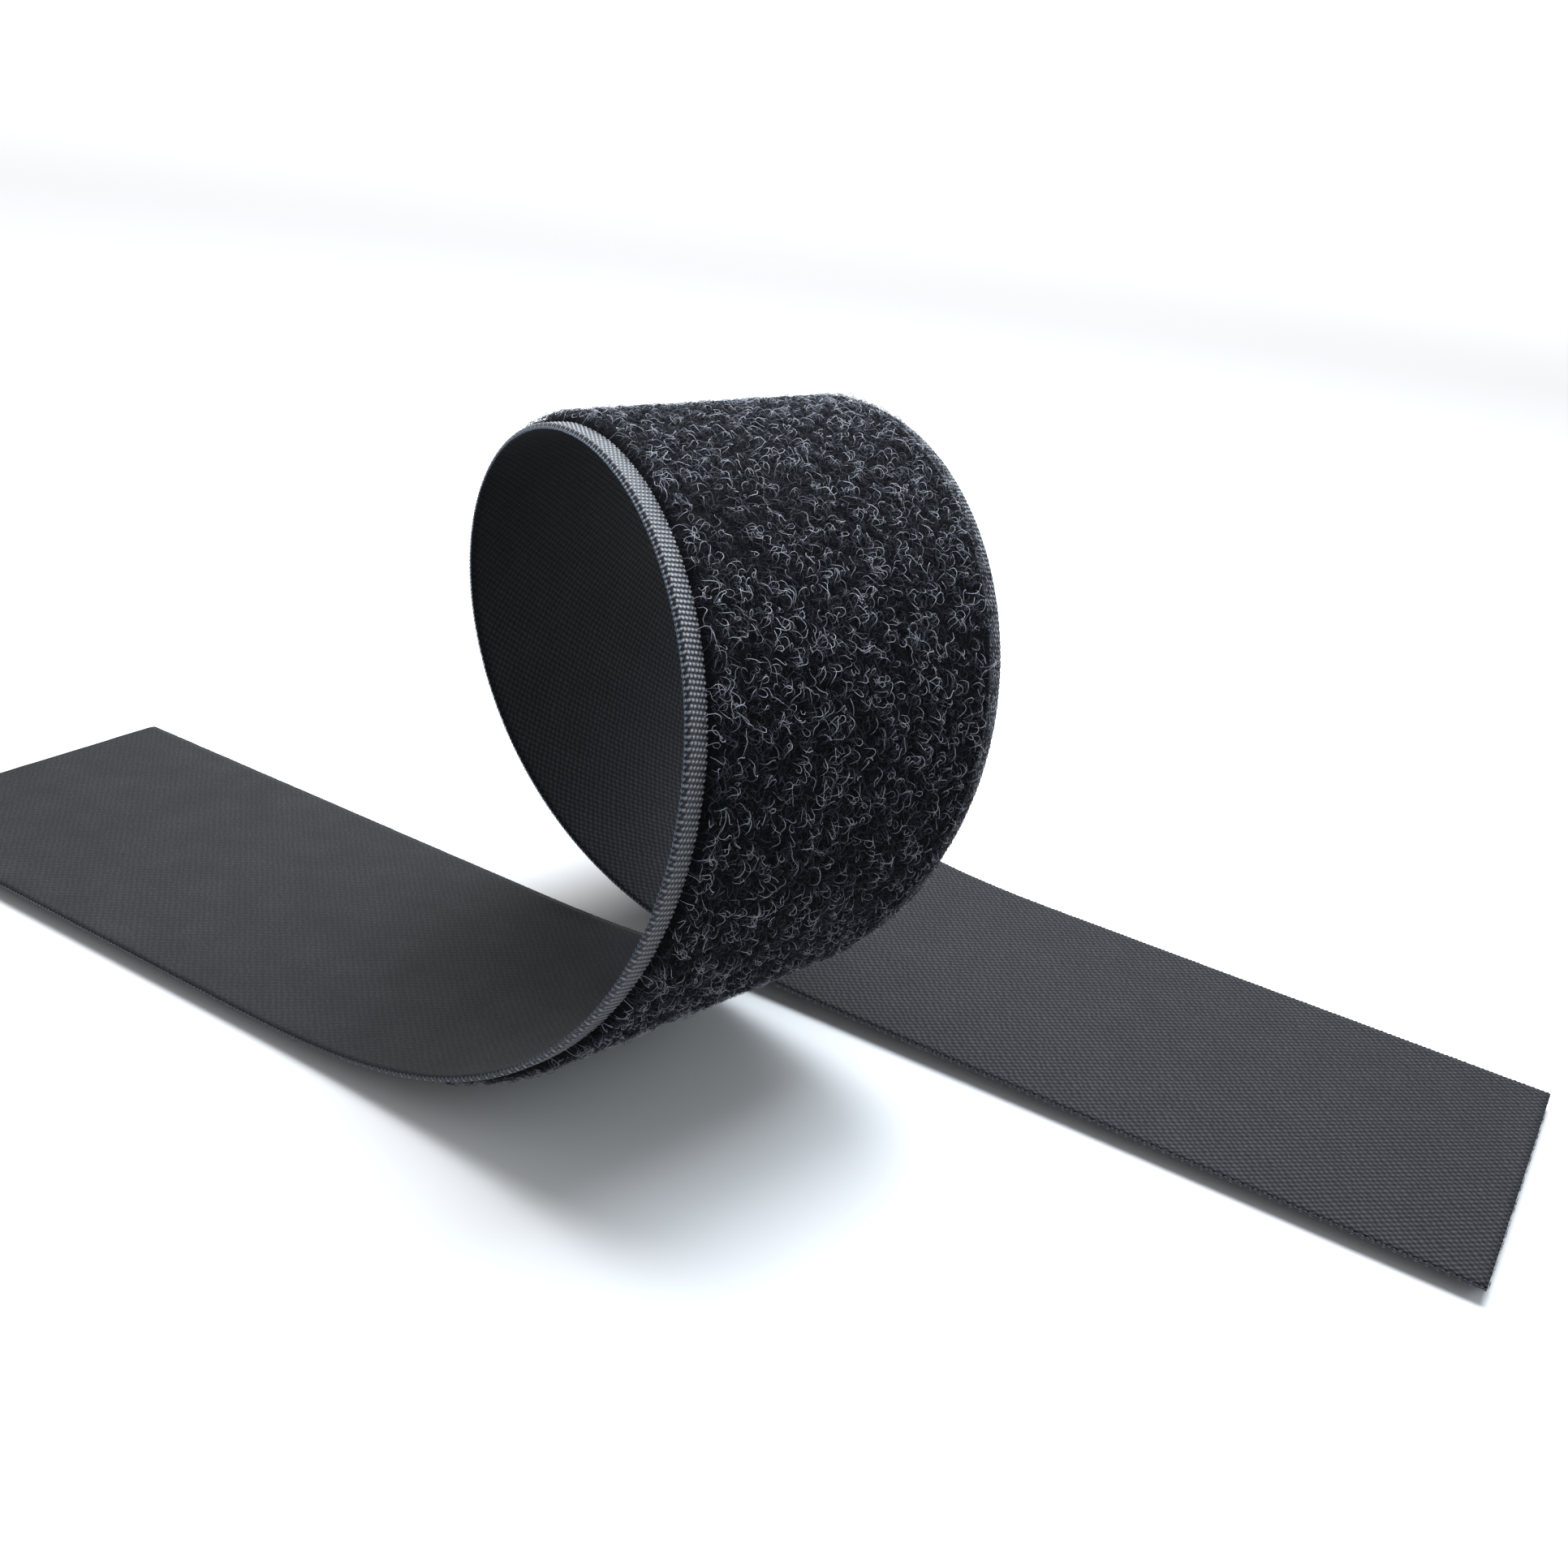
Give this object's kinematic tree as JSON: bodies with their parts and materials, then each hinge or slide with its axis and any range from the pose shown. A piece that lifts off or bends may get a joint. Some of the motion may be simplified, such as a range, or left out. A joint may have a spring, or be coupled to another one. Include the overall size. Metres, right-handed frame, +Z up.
{
  "type": "loop-side touch fastener tape",
  "caption": "Wide woven tape with a fibre-loop pile underneath and a smooth back on top, lying flat with one upright curl in the middle and two tails that lift.",
  "frame": {"origin": "on the floor under the top of the loop, midway along the tape", "axes": "+X along the lying tape, from the incoming tail to the outgoing tail; +Y across it, towards the outgoing tail's side; +Z up, smooth back up on the tails"},
  "size_m": [0.2154, 0.1016, 0.0773],
  "materials": {
    "back_coating": "matt coated plain weave",
    "ground_weave": "woven",
    "selvedge": "tightly woven, slight sheen",
    "edge_cord": "fine knitted cord",
    "fibre_pile": "curly napped fibre loops"
  },
  "bodies": {
    "loop": {"loop_back_coating": "back_coating", "loop_ground_weave": "ground_weave", "loop_near_selvedge": "selvedge", "loop_far_selvedge": "selvedge", "loop_near_edge_cord": "edge_cord", "loop_far_edge_cord": "edge_cord", "loop_fibre_pile": "fibre_pile"},
    "left_tail": {"left_back_coating": "back_coating", "left_ground_weave": "ground_weave", "left_near_selvedge": "selvedge", "left_far_selvedge": "selvedge", "left_near_edge_cord": "edge_cord", "left_far_edge_cord": "edge_cord", "left_fibre_pile": "fibre_pile"},
    "right_tail": {"right_back_coating": "back_coating", "right_ground_weave": "ground_weave", "right_near_selvedge": "selvedge", "right_far_selvedge": "selvedge", "right_near_edge_cord": "edge_cord", "right_far_edge_cord": "edge_cord", "right_fibre_pile": "fibre_pile"}
  },
  "joints": [
    {"name": "left_tail_bend", "type": "hinge", "parent": "loop", "child": "left_tail", "pos_m": [-0.04768, -0.02577, 0.0022], "axis": [0, 1, 0], "range_deg": [0, 60]},
    {"name": "right_tail_bend", "type": "hinge", "parent": "loop", "child": "right_tail", "pos_m": [0.04768, 0.02577, 0.0022], "axis": [0, -1, 0], "range_deg": [0, 60]}
  ]
}
